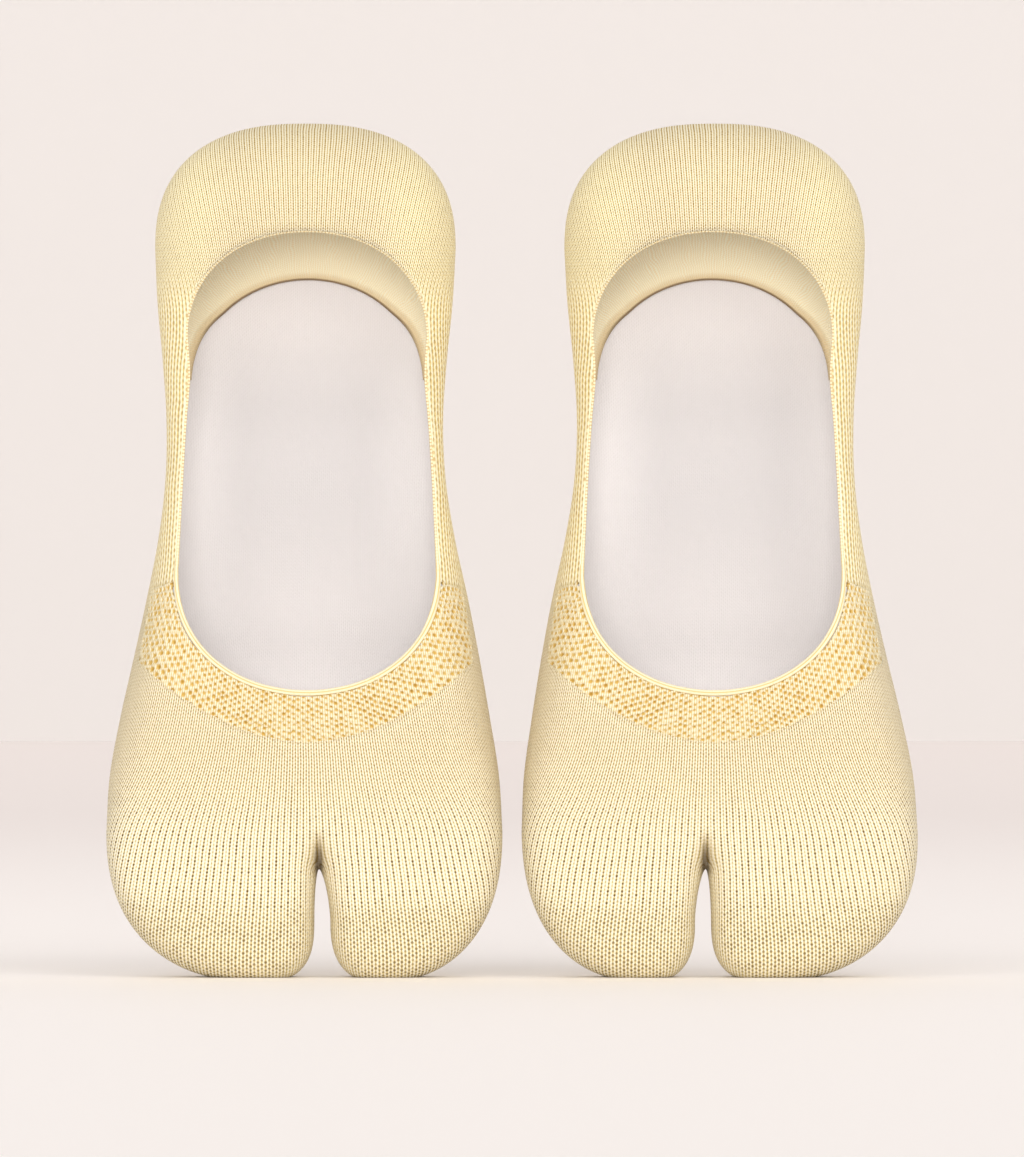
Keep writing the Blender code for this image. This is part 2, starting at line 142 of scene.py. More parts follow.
def table_value(table, z, column):
    heights, values = table[:, 0], table[:, column]
    slopes = np.gradient(values, heights)
    z = np.clip(z, heights[0], heights[-1])
    i = np.clip(np.searchsorted(heights, z, side="right") - 1, 0, len(heights) - 2)
    step = heights[i + 1] - heights[i]
    t = (z - heights[i]) / step
    start = (1 + 2 * t) * (1 - t) ** 2 * values[i] + t * (1 - t) ** 2 * step * slopes[i]
    end = t * t * (3 - 2 * t) * values[i + 1] + t * t * (t - 1) * step * slopes[i + 1]
    return start + end


def quarter_arch(t, half_width, height, curve):
    angle = np.asarray(t, float) * math.pi / 2
    across = half_width * np.maximum(np.sin(angle), 0.0) ** (2 / curve)
    up = height * np.maximum(np.cos(angle), 0.0) ** (2 / curve)
    return across, up


def soft_step(value, start, end):
    t = np.clip((value - start) / (end - start), 0, 1)
    return t * t * (3 - 2 * t)


print("outline half width at the ball:", float(table_value(FLANK, 45.0, 1)), "mm")

# %% [markdown]
# ## The outline, stretch by stretch
# The outline of one half runs from the top of the heel down the flank, round a toe stall and up
# into the cleft. Each stretch has its own formula and its own number of columns, because a tight
# curve needs more points than a straight flank.

# %% Points of the outline
FLANK_ENDS = {
    "flank": (HEEL_SPRING_Z, BAND_TOP_Z),
    "band end": (BAND_TOP_Z, BAND_CORNER_Z),
    "ball": (BAND_CORNER_Z, STALL_TOP_Z),
}


def outline_at(side, stretch, t, inset=0.0):
    stall = STALLS[side]
    t = np.asarray(t, float)
    if stretch == "heel":
        across, up = quarter_arch(
            t, HEEL_HALF_WIDTH - inset, LENGTH - HEEL_SPRING_Z - inset, HEEL_CURVE
        )
        middle = table_value(FLANK, HEEL_SPRING_Z, 2)
        return stacked(middle + side * across, HEEL_SPRING_Z + up)
    if stretch == "outer toe":
        half_width = FLANK[0, 1] - abs(stall["tip_x"]) - inset
        across, down = quarter_arch(1 - t, half_width, STALL_TOP_Z + TOE_PRESS - inset, OUTER_CURVE)
        return stacked(stall["tip_x"] + side * across, STALL_TOP_Z - down)
    reach = stall["cleft"] + inset
    if stretch == "inner toe":
        half_width, height = abs(CLEFT_X + side * reach - stall["tip_x"]), CLEFT_FOOT_Z + TOE_PRESS
        across, down = quarter_arch(t, half_width, height - inset, stall["corner"])
        return stacked(stall["tip_x"] - side * across, CLEFT_FOOT_Z - down)
    if stretch == "cleft":
        height = CLEFT_TOP_Z - CLEFT_FOOT_Z + inset
        across, up = quarter_arch(1 - t, reach, height, stall["cleft_curve"])
        return stacked(CLEFT_X + side * across, CLEFT_FOOT_Z + up)
    top, foot = FLANK_ENDS[stretch]
    z = top + t * (foot - top)
    x = table_value(FLANK, z, 2) + side * (table_value(FLANK, z, 1) - inset)
    return stacked(x, z)


# %% Stretches of the outline
STRETCHES = [
    # name, columns, opening fraction, band fraction, shoulder share, band share
    ("heel", 8, 0.195, 0.0, 0.30, 0.52),
    ("flank", 8, 0.69, 0.0, 0.07, 0.15),
    ("band end", 2, 0.785, 0.28, 0.06, 0.12),
    ("ball", 4, 0.865, 0.47, None, None),
    ("outer toe", 7, 0.93, 0.68, None, None),
    ("inner toe", 4, 0.955, 0.75, None, None),
    ("cleft", 3, 1.0, 1.0, None, None),
]
FIRST_FRACTIONS = (0.0, 0.0, 0.33, 0.55)
COLUMNS_ABOVE_BAND = sum(count for name, count, *_ in STRETCHES if name in ("heel", "flank"))
print("columns above the band:", COLUMNS_ABOVE_BAND)


# %% Ways along a line, and the line of the opening
OPENING_STEPS = 121


def lengths_along(line):
    return np.concatenate([[0.0], np.cumsum(np.linalg.norm(np.diff(line, axis=0), axis=1))])


def walk(line, fractions):
    line = np.asarray(line)
    far = lengths_along(line)
    wanted = np.asarray(fractions) * far[-1]
    return stacked(*[np.interp(wanted, far, line[:, k]) for k in (0, 1)])


def unit(ways):
    return ways / np.linalg.norm(ways, axis=1, keepdims=True)


def set_back(line, towards, distance):
    """The line moved towards another one by a distance."""
    return line - unit(line - towards) * distance


def opening_line(side):
    t = np.linspace(0, 1, OPENING_STEPS)
    across, up = quarter_arch(t, ARCH_HALF_WIDTH, ARCH_HEIGHT, ARCH_CURVE)
    arch = stacked(OPENING_X + side * across, ARCH_Z + up)
    z = np.linspace(ARCH_Z, THROAT_Z, OPENING_STEPS)[1:]
    flank = stacked(OPENING_X + side * table_value(OPENING_SIDE, z, 1), z)
    across, down = quarter_arch(1 - t[1:], THROAT_HALF_WIDTH, THROAT_DEPTH, THROAT_CURVE)
    throat = stacked(OPENING_X + side * across, THROAT_Z - down)
    return np.concatenate([arch, flank, throat])


print("opening:", round(float(lengths_along(opening_line(1))[-1])), "mm along one half")


# %% Columns of one half
SHOULDER_INSET, LEAST_INSET, BALL_CURVE, CLEFT_CROWDING, FINE_LINE = 11.0, 0.8, 0.8, 1.8, 401


def columns_of(side, finer):
    """The flat points where the columns cross the outline, the shoulder, the band and the opening.

    finer says into how many columns each column of a stretch is divided.
    """
    names, outline, ways, last = [], [], [], FIRST_FRACTIONS
    for name, count, *ends in STRETCHES:
        steps = count * finer.get(name, finer["all"])
        share = np.arange(0 if name == "heel" else 1, steps + 1) / steps
        fine = np.linspace(0, 1, FINE_LINE)
        own_line = name in ("outer toe", "inner toe", "cleft")
        far = lengths_along(outline_at(side if own_line else 1, name, fine))
        t = np.interp(share * far[-1], far, fine)
        if name == "cleft":
            t = 1 - (1 - share) ** CLEFT_CROWDING
        ends = [before if end is None else end for end, before in zip(ends, last)]
        ways.append([before + (end - before) * share for end, before in zip(ends, last)])
        last = ends
        outline.append(outline_at(side, name, t))
        names += [(name, float(v)) for v in t]
    outline = np.concatenate(outline)
    opening, band_share, shoulder, band = np.concatenate(ways, axis=1)
    opening_at = walk(opening_line(side), opening)
    way = opening_at - outline
    shoulder_at, band_at = outline + shoulder[:, None] * way, outline + band[:, None] * way
    stretches = [name for name, _ in names]
    first_below, first_band = stretches.index("ball"), stretches.index("band end") - 1
    corner = band_at[first_below - 1]
    x = np.linspace(abs(corner[0] - OPENING_X), 0, OPENING_STEPS)
    rise = (x / x[0]) ** BAND_CURVE
    line = stacked(OPENING_X + side * x, BAND_BOTTOM_Z + (corner[1] - BAND_BOTTOM_Z) * rise)
    line = np.concatenate([[band_at[first_band]], line])
    band_at[first_below:] = walk(line, band_share[first_below:])
    for i in range(first_below, len(names)):
        name, t = names[i]
        inset = SHOULDER_INSET * (max(t, 1e-6) ** BALL_CURVE if name == "ball" else 1.0)
        shoulder_at[i] = outline_at(side, name, t, max(inset, LEAST_INSET))
    return names, outline, shoulder_at, band_at, opening_at, first_band


half = columns_of(1, {"all": 1})
print("columns in one half:", len(half[0]), "- the band starts at column", half[5])


# %% The whole outline as one closed line
OUTLINE_STEPS, CHUNK, ON_THE_LINE = 161, 2000, 0.05


def closed_outline():
    t, line = np.linspace(0, 1, OUTLINE_STEPS)[:-1], []
    for side in (-1, 1):
        part = [outline_at(side, name, t) for name, *_ in STRETCHES]
        part = np.concatenate([*part, outline_at(side, "cleft", [1.0])])
        line.append(part if side < 0 else part[::-1])
    line = np.concatenate(line)
    keep = np.linalg.norm(line - np.roll(line, 1, axis=0), axis=1) > 1e-4
    return line[keep]


OUTLINE = closed_outline()
OUTLINE_WAY = np.roll(OUTLINE, -1, axis=0) - OUTLINE
print("outline length:", round(float(np.linalg.norm(OUTLINE_WAY, axis=1).sum())), "mm")


def to_outline(x, z):
    """The distance of flat points to the outline, and the direction of its nearest point."""
    flat = stacked(np.ravel(x), np.ravel(z))
    distance = np.empty(len(flat))
    towards = np.empty((len(flat), 2))
    for start in range(0, len(flat), CHUNK):
        p = flat[start : start + CHUNK]
        nearest = ((p[:, None] - OUTLINE[None]) ** 2).sum(-1).argmin(1)
        best = np.full(len(p), np.inf)
        foot = np.zeros((len(p), 2))
        normal = np.zeros((len(p), 2))
        for k in (nearest, nearest - 1):
            way = OUTLINE_WAY[k]
            along = ((p - OUTLINE[k]) * way).sum(1) / (way**2).sum(1)
            at = OUTLINE[k] + way * np.clip(along, 0, 1)[:, None]
            far = np.linalg.norm(p - at, axis=1)
            closer = far < best
            best[closer], foot[closer] = far[closer], at[closer]
            normal[closer] = stacked(way[:, 1], -way[:, 0])[closer]
        out = foot - p
        size = np.linalg.norm(out, axis=1, keepdims=True)
        out = np.where(size > ON_THE_LINE, out / np.maximum(size, 1e-9), unit(normal) * OUTWARD)
        distance[start : start + CHUNK] = best
        towards[start : start + CHUNK] = out
    shape = np.shape(x)
    return distance.reshape(shape), towards.reshape(*shape, 2)


area_sign = np.sum(OUTLINE[:, 0] * OUTLINE_WAY[:, 1] - OUTLINE[:, 1] * OUTLINE_WAY[:, 0])
OUTWARD = 1.0 if area_sign > 0 else -1.0


# %% Points of the cloth
CREASE_CURVE, CREASE_END_Z = 2.6, (CLEFT_TOP_Z - 3, CLEFT_TOP_Z + 1)
FRONT_CURVE, TOE_CURVE, BACK_CURVE = 2.4, 3.0, 3.0
TOES_FROM_Z, TOES_HEIGHT = 60.0, 40.0
KNIT_STRETCH, HEEL_EASE_Z = 1.08, (104, 135)


def turned(distance, radius, curve):
    share = np.clip(distance / radius, 0, 1)
    return (1 - (1 - share) ** curve) ** (1 / curve)


def crease_left(x, z):
    """The share of the depth that the crease above the cleft leaves."""
    beside = turned(np.maximum(np.abs(x - CLEFT_X) - CREASE_FLOOR, 0), CREASE_RADIUS, CREASE_CURVE)
    above = soft_step(z, CLEFT_TOP_Z, CREASE_TOP_Z)
    left = CREASE_LEAST + (1 - CREASE_LEAST) * (above + (1 - above) * beside)
    return 1 - soft_step(z, *CREASE_END_Z) * (1 - left)


def cloth_points(flat, front):
    """The cloth over flat points (x, z), in front or behind, and its unrolled place in mm."""
    x, z = flat[..., 0], flat[..., 1]
    distance, towards = to_outline(x, z)
    held = np.clip(z, 0, LENGTH)
    radius = table_value(DEPTH, held, 4 if front else 5)
    half_width = table_value(FLANK, np.clip(held, STALL_TOP_Z, HEEL_SPRING_Z), 1)
    depth = table_value(DEPTH, held, 2 if front else 3)
    fall = FRONT_FALL if front else BACK_FALL
    depth = depth * (1 - fall * np.clip(np.abs(x) / half_width, 0, 1) ** FALL_CURVE)
    toe_share = np.clip((TOES_FROM_Z - held) / TOES_HEIGHT, 0, 1)
    curve = FRONT_CURVE + (TOE_CURVE - FRONT_CURVE) * toe_share if front else BACK_CURVE
    full = turned(distance, radius, curve) * crease_left(x, z)
    y = table_value(DEPTH, held, 1) + (-1 if front else 1) * depth * full
    points = stacked(x, y, np.maximum(z, 0.0))
    share = np.clip(distance / radius, 0, 1)
    steep = depth / radius * (1 - turned(distance, radius, curve))
    spare = radius * (KNIT_STRETCH * np.hypot(1 - share, steep) - (1 - share))
    spare = spare * (1 - HEEL_EASE * soft_step(held, *HEEL_EASE_Z))
    return points, flat + np.where(share < 1, spare, 0)[..., None] * towards


print("depth in front at the ball:", round(float(table_value(DEPTH, 77.0, 2)), 1), "mm")

# %% [markdown]
# ## Wales and courses
# A knit is a grid of stitches: wales run the length of the foot and courses run round it. The
# unrolled place of a point on the cloth, divided by the size of a stitch, tells how many wales and
# courses it lies from the middle, so a material can draw each stitch where it belongs. The wales
# spread over the ball and close up over the instep, as they do on a foot.

# %% Count the wales and the courses
WALE = 0.935
WALES_CLOSER = table(
    # z, how much closer the wales lie than over the toes
    (-20, 0.93),
    (10, 0.93),
    (20, 0.97),
    (31, 1.02),
    (42, 1.09),
    (50, 1.19),
    (57, 1.28),
    (66, 1.38),
    (78, 1.48),
    (90, 1.55),
    (110, 1.60),
    (160, 1.75),
    (182, 1.80),
    (195, 1.63),
    (208, 1.46),
    (219, 1.33),
    (232, 1.20),
    (270, 1.10),
)
COURSE_SIZES = table(
    # z, height of a course
    (-40, 1.25),
    (10, 1.22),
    (22, 1.04),
    (40, 1.00),
    (62, 0.97),
    (100, 0.95),
    (180, 0.92),
    (204, 0.76),
    (290, 0.74),
)


COUNT_FROM_Z, COUNT_TO_Z, COUNT_STEP = -60, 300, 0.5


def knit_place(unrolled):
    x, z = unrolled[..., 0], unrolled[..., 1]
    spread = table_value(WALES_CLOSER, z, 1)
    heights = np.arange(COUNT_FROM_Z, COUNT_TO_Z + COUNT_STEP, COUNT_STEP)
    size = table_value(COURSE_SIZES, heights, 1)
    count = np.concatenate([[0.0], np.cumsum(COUNT_STEP / size[1:])])
    courses = np.interp(z, heights, count)
    return stacked(x * spread / WALE, courses)


# %% Rows from the opening over the front, and from the outline to the middle of the sole
FRONT_TURN_ROWS, BACK_TURN_ROWS, INSTEP_ROWS, BAND_ROWS, SOLE_ROWS = 12, 12, 14, 10, 16
FRONT_ROWS_CURVE, TOE_TURN, BRANCH_Z = 2.6, 11.0, (58.0, 31.0, 17.0)
STEM_FROM, STEM_TO, STEM_TOP_Z = (0.3, 172.0), (3.3, 58.0), 182.0


def turn_steps(count, curve):
    angle = np.arange(1, count + 1) / count * math.pi / 2
    return 1 - np.maximum(np.cos(angle), 0) ** (2 / curve)


def between(a, b, shares):
    return a[:, None] + (b - a)[:, None] * np.asarray(shares)[None, :, None]


def middle_line(side, names, outline):
    """Where each column ends on the sole's middle line: a stem with a branch to each stall."""
    tip_x = STALLS[side]["tip_x"]
    counts = [sum(name == wanted for name, _ in names) for wanted in ("cleft", "inner toe")]
    steps = (0, counts[0], sum(counts))
    points, outer = [], 0
    for number, ((name, t), at) in enumerate(zip(names, outline)):
        if name == "heel":
            points.append((STEM_FROM[0], STEM_TOP_Z + (STEM_FROM[1] - STEM_TOP_Z) * t))
        elif name in FLANK_ENDS:
            share = (HEEL_SPRING_Z - at[1]) / (HEEL_SPRING_Z - STALL_TOP_Z)
            points.append([a + (b - a) * share for a, b in zip(STEM_FROM, STEM_TO)])
        else:
            outer += name == "outer toe"
            from_fork = outer if name == "outer toe" else len(names) - 1 - number
            across = np.interp(from_fork, steps, (STEM_TO[0], tip_x, tip_x))
            points.append((across, np.interp(from_fork, steps, BRANCH_Z)))
    return np.array(points)


def half_flats(side, finer, edge_inset):
    """The flat points of one half: its front rows and its back rows, for every column."""
    names, outline, shoulder, band, opening, _ = columns_of(side, finer)
    edge = set_back(opening, band, edge_inset)
    to_band = between(edge, band, np.arange(BAND_ROWS) / BAND_ROWS)
    to_shoulder = between(band, shoulder, np.arange(INSTEP_ROWS) / INSTEP_ROWS)
    to_outline = between(outline, shoulder, turn_steps(FRONT_TURN_ROWS, FRONT_ROWS_CURVE)[::-1])
    front = np.concatenate([to_band, to_shoulder, to_outline, outline[:, None]], axis=1)
    inner = []
    for (name, t), at in zip(names, outline):
        on_toe = name != "heel" and name not in FLANK_ENDS
        inset = TOE_TURN if on_toe else table_value(DEPTH, at[1], 5)
        inner.append(outline_at(side, name, t, inset))
    inner = np.array(inner)
    to_inner = between(outline, inner, turn_steps(BACK_TURN_ROWS, BACK_CURVE))
    middle = middle_line(side, names, outline)
    to_middle = between(inner, middle, np.arange(1, SOLE_ROWS + 1) / SOLE_ROWS)
    back = np.concatenate([outline[:, None], to_inner, to_middle], axis=1)
    return front, back


def round_the_sock(small_toes, big_toe):
    """Both halves as one ring of columns that ends where it starts."""
    return np.concatenate([small_toes, big_toe[-2:0:-1], small_toes[:1]])


# %% Every point of a sock, with the values that its material needs
# Each of these is a pair of places in millimetres between which a value of the material fades.
CLEFT_X_FADE, CLEFT_Z_FADE, OUTER_LIP_FADE = (9, 13), (34, 40), (1.4, 3.4)
INNER_LIP_FADE, CREASE_SHADE_FADE, SIDE_FADE = (2.4, 4.4), (1.2, 3.0), (1.0, 9.0)
STRAP_X_FADE, STRAP_FOOT_FADE, STRAP_TOP_FADE = (23, 31), (98, 110), (176, 194)
FLANK_X_FADE, FLANK_Z_FADE = (16, 33), (85, 120)
# Points on the sole count as this many millimetres from the rim.
FAR_BEHIND = 99.0


def sock_arrays(finer, edge_inset):
    """Every point of a sock, its place in the knit, and the values that its material needs."""
    halves = [half_flats(side, finer, edge_inset) for side in (-1, 1)]
    front, back = [round_the_sock(*both) for both in zip(*halves)]
    points, unrolled = cloth_points(front, True)
    back_points, back_unrolled = cloth_points(back, False)
    jump = unrolled[:, -1] - back_unrolled[:, 0]
    carried = 1 - soft_step(np.arange(back.shape[1]), 0, back.shape[1] - 1)
    back_unrolled = back_unrolled + jump[:, None] * carried[:, None]
    points = np.concatenate([points, back_points[:, 1:]], axis=1)
    knit = np.concatenate([knit_place(unrolled), knit_place(back_unrolled)[:, 1:]], axis=1)
    flat = np.concatenate([front, back[:, 1:]], axis=1)
    x, z = flat[..., 0], flat[..., 1]
    distance, _ = to_outline(x, z)
    beside = np.abs(x - CLEFT_X)
    in_cleft = (1 - soft_step(beside, *CLEFT_X_FADE)) * (1 - soft_step(z, *CLEFT_Z_FADE))
    lips = 1 - soft_step(distance, *OUTER_LIP_FADE)
    lips = np.maximum(lips, 1 - soft_step(beside, *INNER_LIP_FADE))
    from_edge = np.linalg.norm(front - front[:, :1], axis=-1) + edge_inset
    behind = np.full((len(back), back.shape[1] - 1), FAR_BEHIND)
    on_front = 1 - soft_step(distance[:, front.shape[1] :], *SIDE_FADE)
    on_front = np.concatenate([np.ones(front.shape[:2]), on_front], axis=1)
    strap = soft_step(z, *STRAP_FOOT_FADE) * (1 - soft_step(z, *STRAP_TOP_FADE))
    values = {
        "lips": in_cleft * lips,
        # Painted shade in the crease above the cleft, strongest in its middle.
        "deep": (1 - crease_left(x, z)) * (1 - soft_step(beside, *CREASE_SHADE_FADE)),
        "strap": on_front * strap * soft_step(np.abs(x), *STRAP_X_FADE),
        # On the flanks the knit is drawn lighter, partly for its more open stitches and partly as
        # painted light against the shade where the cloth turns away.
        "flank": on_front * soft_step(np.abs(x), *FLANK_X_FADE) * soft_step(z, *FLANK_Z_FADE),
        "rim": np.concatenate([from_edge, behind], axis=1),
    }
    return points, knit, values


# %% Place a sock in the pair
def placed(points, turn, bend):
    x = points[..., 0] + bend * soft_step(points[..., 2], 0, BEND_HEIGHT)
    x = turn * (x - TOE_SPACING / 2) - ORIGIN_X
    return stacked(x, points[..., 1] - ORIGIN_Y, points[..., 2])


def normals_of(points, closed):
    if closed:
        ring = points[:-1]
        across = np.roll(ring, -1, axis=0) - np.roll(ring, 1, axis=0)
        across = np.concatenate([across, across[:1]])
    else:
        across = np.gradient(points, axis=0)
    normals = np.cross(np.gradient(points, axis=1), across)
    return normals / np.maximum(np.linalg.norm(normals, axis=-1, keepdims=True), 1e-9)


# %% [markdown]
# ## From a grid to cloth
# Blender's grid operator makes the faces, and moving its vertices to the computed points gives it
# the form. The same operator writes a UV for every corner, which is then changed into the place in
# the knit. A Solidify modifier thickens the cloth inwards, so that the outside keeps its size.

# %% Add a thing to the scene
def added(name, content):
    """A new object in the scene, with this mesh, lamp or camera."""
    made = bpy.data.objects.new(name, content)
    bpy.context.scene.collection.objects.link(made)
    return made


def mesh_from(name, sheet):
    mesh = bpy.data.meshes.new(name)
    sheet.to_mesh(mesh)
    sheet.free()
    return mesh


# %% Make a piece of cloth from a grid
SAME_PLACE = 0.004


def cloth_piece(name, points, knit, turn, materials, wall, keep=None, values=None, rim=0):
    columns, rows = points.shape[0] - 1, points.shape[1] - 1
    sheet = bmesh.new()
    uv = sheet.loops.layers.uv.new("knit")
    layers = {key: sheet.verts.layers.float.new(key) for key in values or {}}
    bmesh.ops.create_grid(sheet, x_segments=columns, y_segments=rows, size=1.0, calc_uvs=True)
    for face in sheet.faces:
        for loop in face.loops:
            i, j = round(loop[uv].uv.x * columns), round(loop[uv].uv.y * rows)
            loop[uv].uv = knit[i, j]
    for vert in sheet.verts:
        i, j = round((vert.co.x + 1) / 2 * columns), round((vert.co.y + 1) / 2 * rows)
        vert.co = points[i, j] * MM
        for key, layer in layers.items():
            vert[layer] = values[key][i, j]
        vert.index = i * (rows + 1) + j
    if keep is not None:
        cells = [(face, min(v.index for v in face.verts)) for face in sheet.faces]
        gone = [face for face, cell in cells if not keep(*divmod(cell, rows + 1))]
        bmesh.ops.delete(sheet, geom=gone, context="FACES")
    bmesh.ops.remove_doubles(sheet, verts=sheet.verts, dist=SAME_PLACE * MM)
    bmesh.ops.dissolve_degenerate(sheet, edges=sheet.edges, dist=SAME_PLACE / 2 * MM)
    if turn > 0:
        bmesh.ops.reverse_faces(sheet, faces=sheet.faces)
    mesh = mesh_from(name, sheet)
    mesh.shade_smooth()
    for material in materials:
        mesh.materials.append(material)
    piece = added(name, mesh)
    if wall:
        shell = piece.modifiers.new("thickness", "SOLIDIFY")
        shell.thickness = wall * MM
        shell.offset = -1.0
        shell.use_even_offset = False
        shell.material_offset = len(materials) - 1
        shell.material_offset_rim = rim
    print(name, len(mesh.polygons), "faces")
    return piece


# %% [markdown]
# ## Materials
# The foot, its inside and the band share one group that draws plain knit from the place in the
# knit: pale ridges along the wales, and a small hole between the stitches. Over the toes every
# second line of holes is stretched wide open, and at the tips all of them are.

# %% Small helpers for shader nodes
def node(kind, inputs, tree=None, **settings):
    """A new node with its inputs joined or set. It goes into the tree of the first socket."""
    sockets = [value for value in inputs.values() if isinstance(value, bpy.types.NodeSocket)]
    tree = tree or sockets[0].id_data
    made = tree.nodes.new(kind)
    for key, value in settings.items():
        setattr(made, key, value)
    for key, value in inputs.items():
        if isinstance(value, bpy.types.NodeSocket):
            tree.links.new(value, made.inputs[key])
        else:
            made.inputs[key].default_value = value
    return made


def calc(operation, *values):
    return node("ShaderNodeMath", dict(enumerate(values)), operation=operation).outputs[0]


times, plus, minus = [partial(calc, name) for name in ("MULTIPLY", "ADD", "SUBTRACT")]


def summed(total, *shares):
    """A number that grows by a share of each value."""
    for share, value in shares:
        total = plus(total, times(value, share))
    return total


def xyz(vector):
    return node("ShaderNodeSeparateXYZ", {0: vector}).outputs


# %% Helpers that fade, mix and look up
def ramp(value, start, end, low=0.0, high=1.0):
    inputs = {0: value, 1: start, 2: end, 3: low, 4: high}
    return node("ShaderNodeMapRange", inputs, interpolation_type="SMOOTHSTEP").outputs[0]


def blend(share, first, second):
    inputs = {0: share, 6: first, 7: second}
    return node("ShaderNodeMix", inputs, data_type="RGBA").outputs[2]


def painted(cloth, *coats):
    """A colour under coats of other colours, each with its share."""
    for share, shade in coats:
        cloth = blend(share, cloth, shade)
    return cloth


def lerp(share, first, second):
    inputs = {0: share, 2: first, 3: second}
    return node("ShaderNodeMix", inputs, data_type="FLOAT").outputs[0]


def attribute(place, name):
    return node("ShaderNodeAttribute", {}, place.id_data, attribute_name=name).outputs["Fac"]


def noise(place, scale, detail=2.0, output="Fac"):
    inputs = {"Vector": place, "Scale": scale, "Detail": detail}
    return node("ShaderNodeTexNoise", inputs).outputs[output]


# %% Colours
def colour(red, green, blue):
    """A colour given as it looks on a screen, from 0 to 255."""
    shares = [value / 255 for value in (red, green, blue)]
    return (*[((v + 0.055) / 1.055) ** 2.4 if v > 0.04045 else v / 12.92 for v in shares], 1.0)


def palette(**shades):
    return {name: colour(*shade) for name, shade in shades.items()}


# %% The knit group
SWAY_SCALE, HOLE_SIZES, HOLE_FADE, HOLE_LEAST = 95.0, (0.85, 1.15), (1.25, 0.45), 0.72
CLOSED_LINE_RISE, LEG_SLANT, LEG_RISE = 0.35, 0.9, 0.4


def make_knit_group():
    tree = bpy.data.node_groups.new("plain knit", "ShaderNodeTree")
    sides = {"INPUT": ("Place", "Knit", "Wander", "Pairing", "Width", "Height")}
    sides["OUTPUT"] = ("Hole", "Yarn", "Relief")
    for in_out, labels in sides.items():
        for label in labels:
            kind = "Vector" if label in ("Place", "Knit") else "Float"
            tree.interface.new_socket(label, in_out=in_out, socket_type="NodeSocket" + kind)
    given, result = [tree.nodes.new(kind) for kind in ("NodeGroupInput", "NodeGroupOutput")]
    place, knit, wander, pairing, width, height = given.outputs[:6]
    sway = xyz(noise(place, SWAY_SCALE, output="Color"))
    knit = xyz(knit)
    wale, course = [plus(knit[k], times(minus(sway[k], 0.5), wander)) for k in (0, 1)]
    line = calc("ROUND", wale)
    off_line = minus(wale, line)
    second = calc("FLOORED_MODULO", line, 2.0)
    row = plus(course, times(second, 0.5))
    hole_row = calc("ROUND", row)
    off_row = minus(row, hole_row)
    cell = node("ShaderNodeCombineXYZ", {0: line, 1: hole_row})
    chance = node("ShaderNodeTexWhiteNoise", {"Vector": cell.outputs[0]}).outputs["Value"]
    size = plus(times(chance, HOLE_SIZES[1] - HOLE_SIZES[0]), HOLE_SIZES[0])
    across = calc("DIVIDE", off_line, times(width, size))
    along = calc("DIVIDE", off_row, times(height, size))
    far = calc("SQRT", plus(times(across, across), times(along, along)))
    faded = times(second, pairing)
    least = plus(HOLE_LEAST, times(chance, 1 - HOLE_LEAST))
    hole = times(ramp(far, *HOLE_FADE), times(minus(1.0, faded), least))
    aside = calc("ABSOLUTE", off_line)
    ridge = calc("SINE", times(aside, math.pi))
    ridge = lerp(times(faded, CLOSED_LINE_RISE), ridge, 1.0)
    slant = plus(course, times(aside, LEG_SLANT))
    legs = plus(0.5, times(calc("COSINE", times(slant, 2 * math.pi)), 0.5))
    yarn = times(ridge, plus(1 - LEG_RISE, times(legs, LEG_RISE)))
    for number, value in enumerate((hole, yarn, minus(yarn, hole))):
        tree.links.new(value, result.inputs[number])
    return tree


KNIT = make_knit_group()
print("knit group:", len(KNIT.nodes), "nodes")


def knit_node(place, knit, wander, pairing, width, height):
    inputs = dict(enumerate((place, knit, wander, pairing, width, height)))
    return node("ShaderNodeGroup", inputs, place.id_data, node_tree=KNIT).outputs


# %% Make a cloth material
def start_material(name):
    """A new material, the inputs of its shader, and the place on the object."""
    material = bpy.data.materials.new(name)
    material.use_nodes = True
    nodes = material.node_tree.nodes
    place = nodes.new("ShaderNodeTexCoord").outputs["Object"]
    return material, nodes["Principled BSDF"].inputs, place


COTTON = {"Metallic": 0.0, "Specular IOR Level": 0.2, "Sheen Weight": 0.05, "Sheen Roughness": 0.5}


def cloth_material(name, look):
    """A material from a look: colour, roughness, relief, height of the relief in mm, strength."""
    material, shader, place = start_material(name)
    tree = material.node_tree
    for label, value in COTTON.items():
        shader[label].default_value = value
    knit = node("ShaderNodeUVMap", {}, tree, uv_map="knit").outputs["UV"]
    cloth, rough, relief, height, strength = look(place, knit)
    inputs = {"Height": relief, "Distance": height * MM, "Strength": strength}
    bump = node("ShaderNodeBump", inputs).outputs["Normal"]
    for label, value in (("Base Color", cloth), ("Roughness", rough), ("Normal", bump)):
        tree.links.new(value, shader[label])
    print(name, "has", len(tree.nodes), "nodes")
    return material


# %% Yellow plain knit, for the outside of the foot
YELLOW = palette(
    ridge=(244, 234, 208),
    toe_ridge=(246, 239, 216),
    hood_ridge=(236, 229, 202),
    # On the flanks the ridges and valleys are lighter: partly more open stitches, partly painted
    # light against the shade where the cloth turns away from the lamps.
    flank_ridge=(252, 244, 210),
    valley=(202, 178, 112),
    toe_valley=(205, 180, 104),
    hood_valley=(198, 166, 80),
    flank_valley=(222, 196, 110),
    gap=(156, 118, 34),
    toe_gap=(98, 68, 0),
    tip_gap=(112, 88, 36),
    hood_gap=(150, 106, 10),
    strap_gap=(196, 160, 92),
    # A duller tone, for random clouds and for painted shade at the toe tips.
    cloud=(208, 190, 144),
    # Painted shade for the crease above the cleft.
    crease=(92, 56, 0),
)
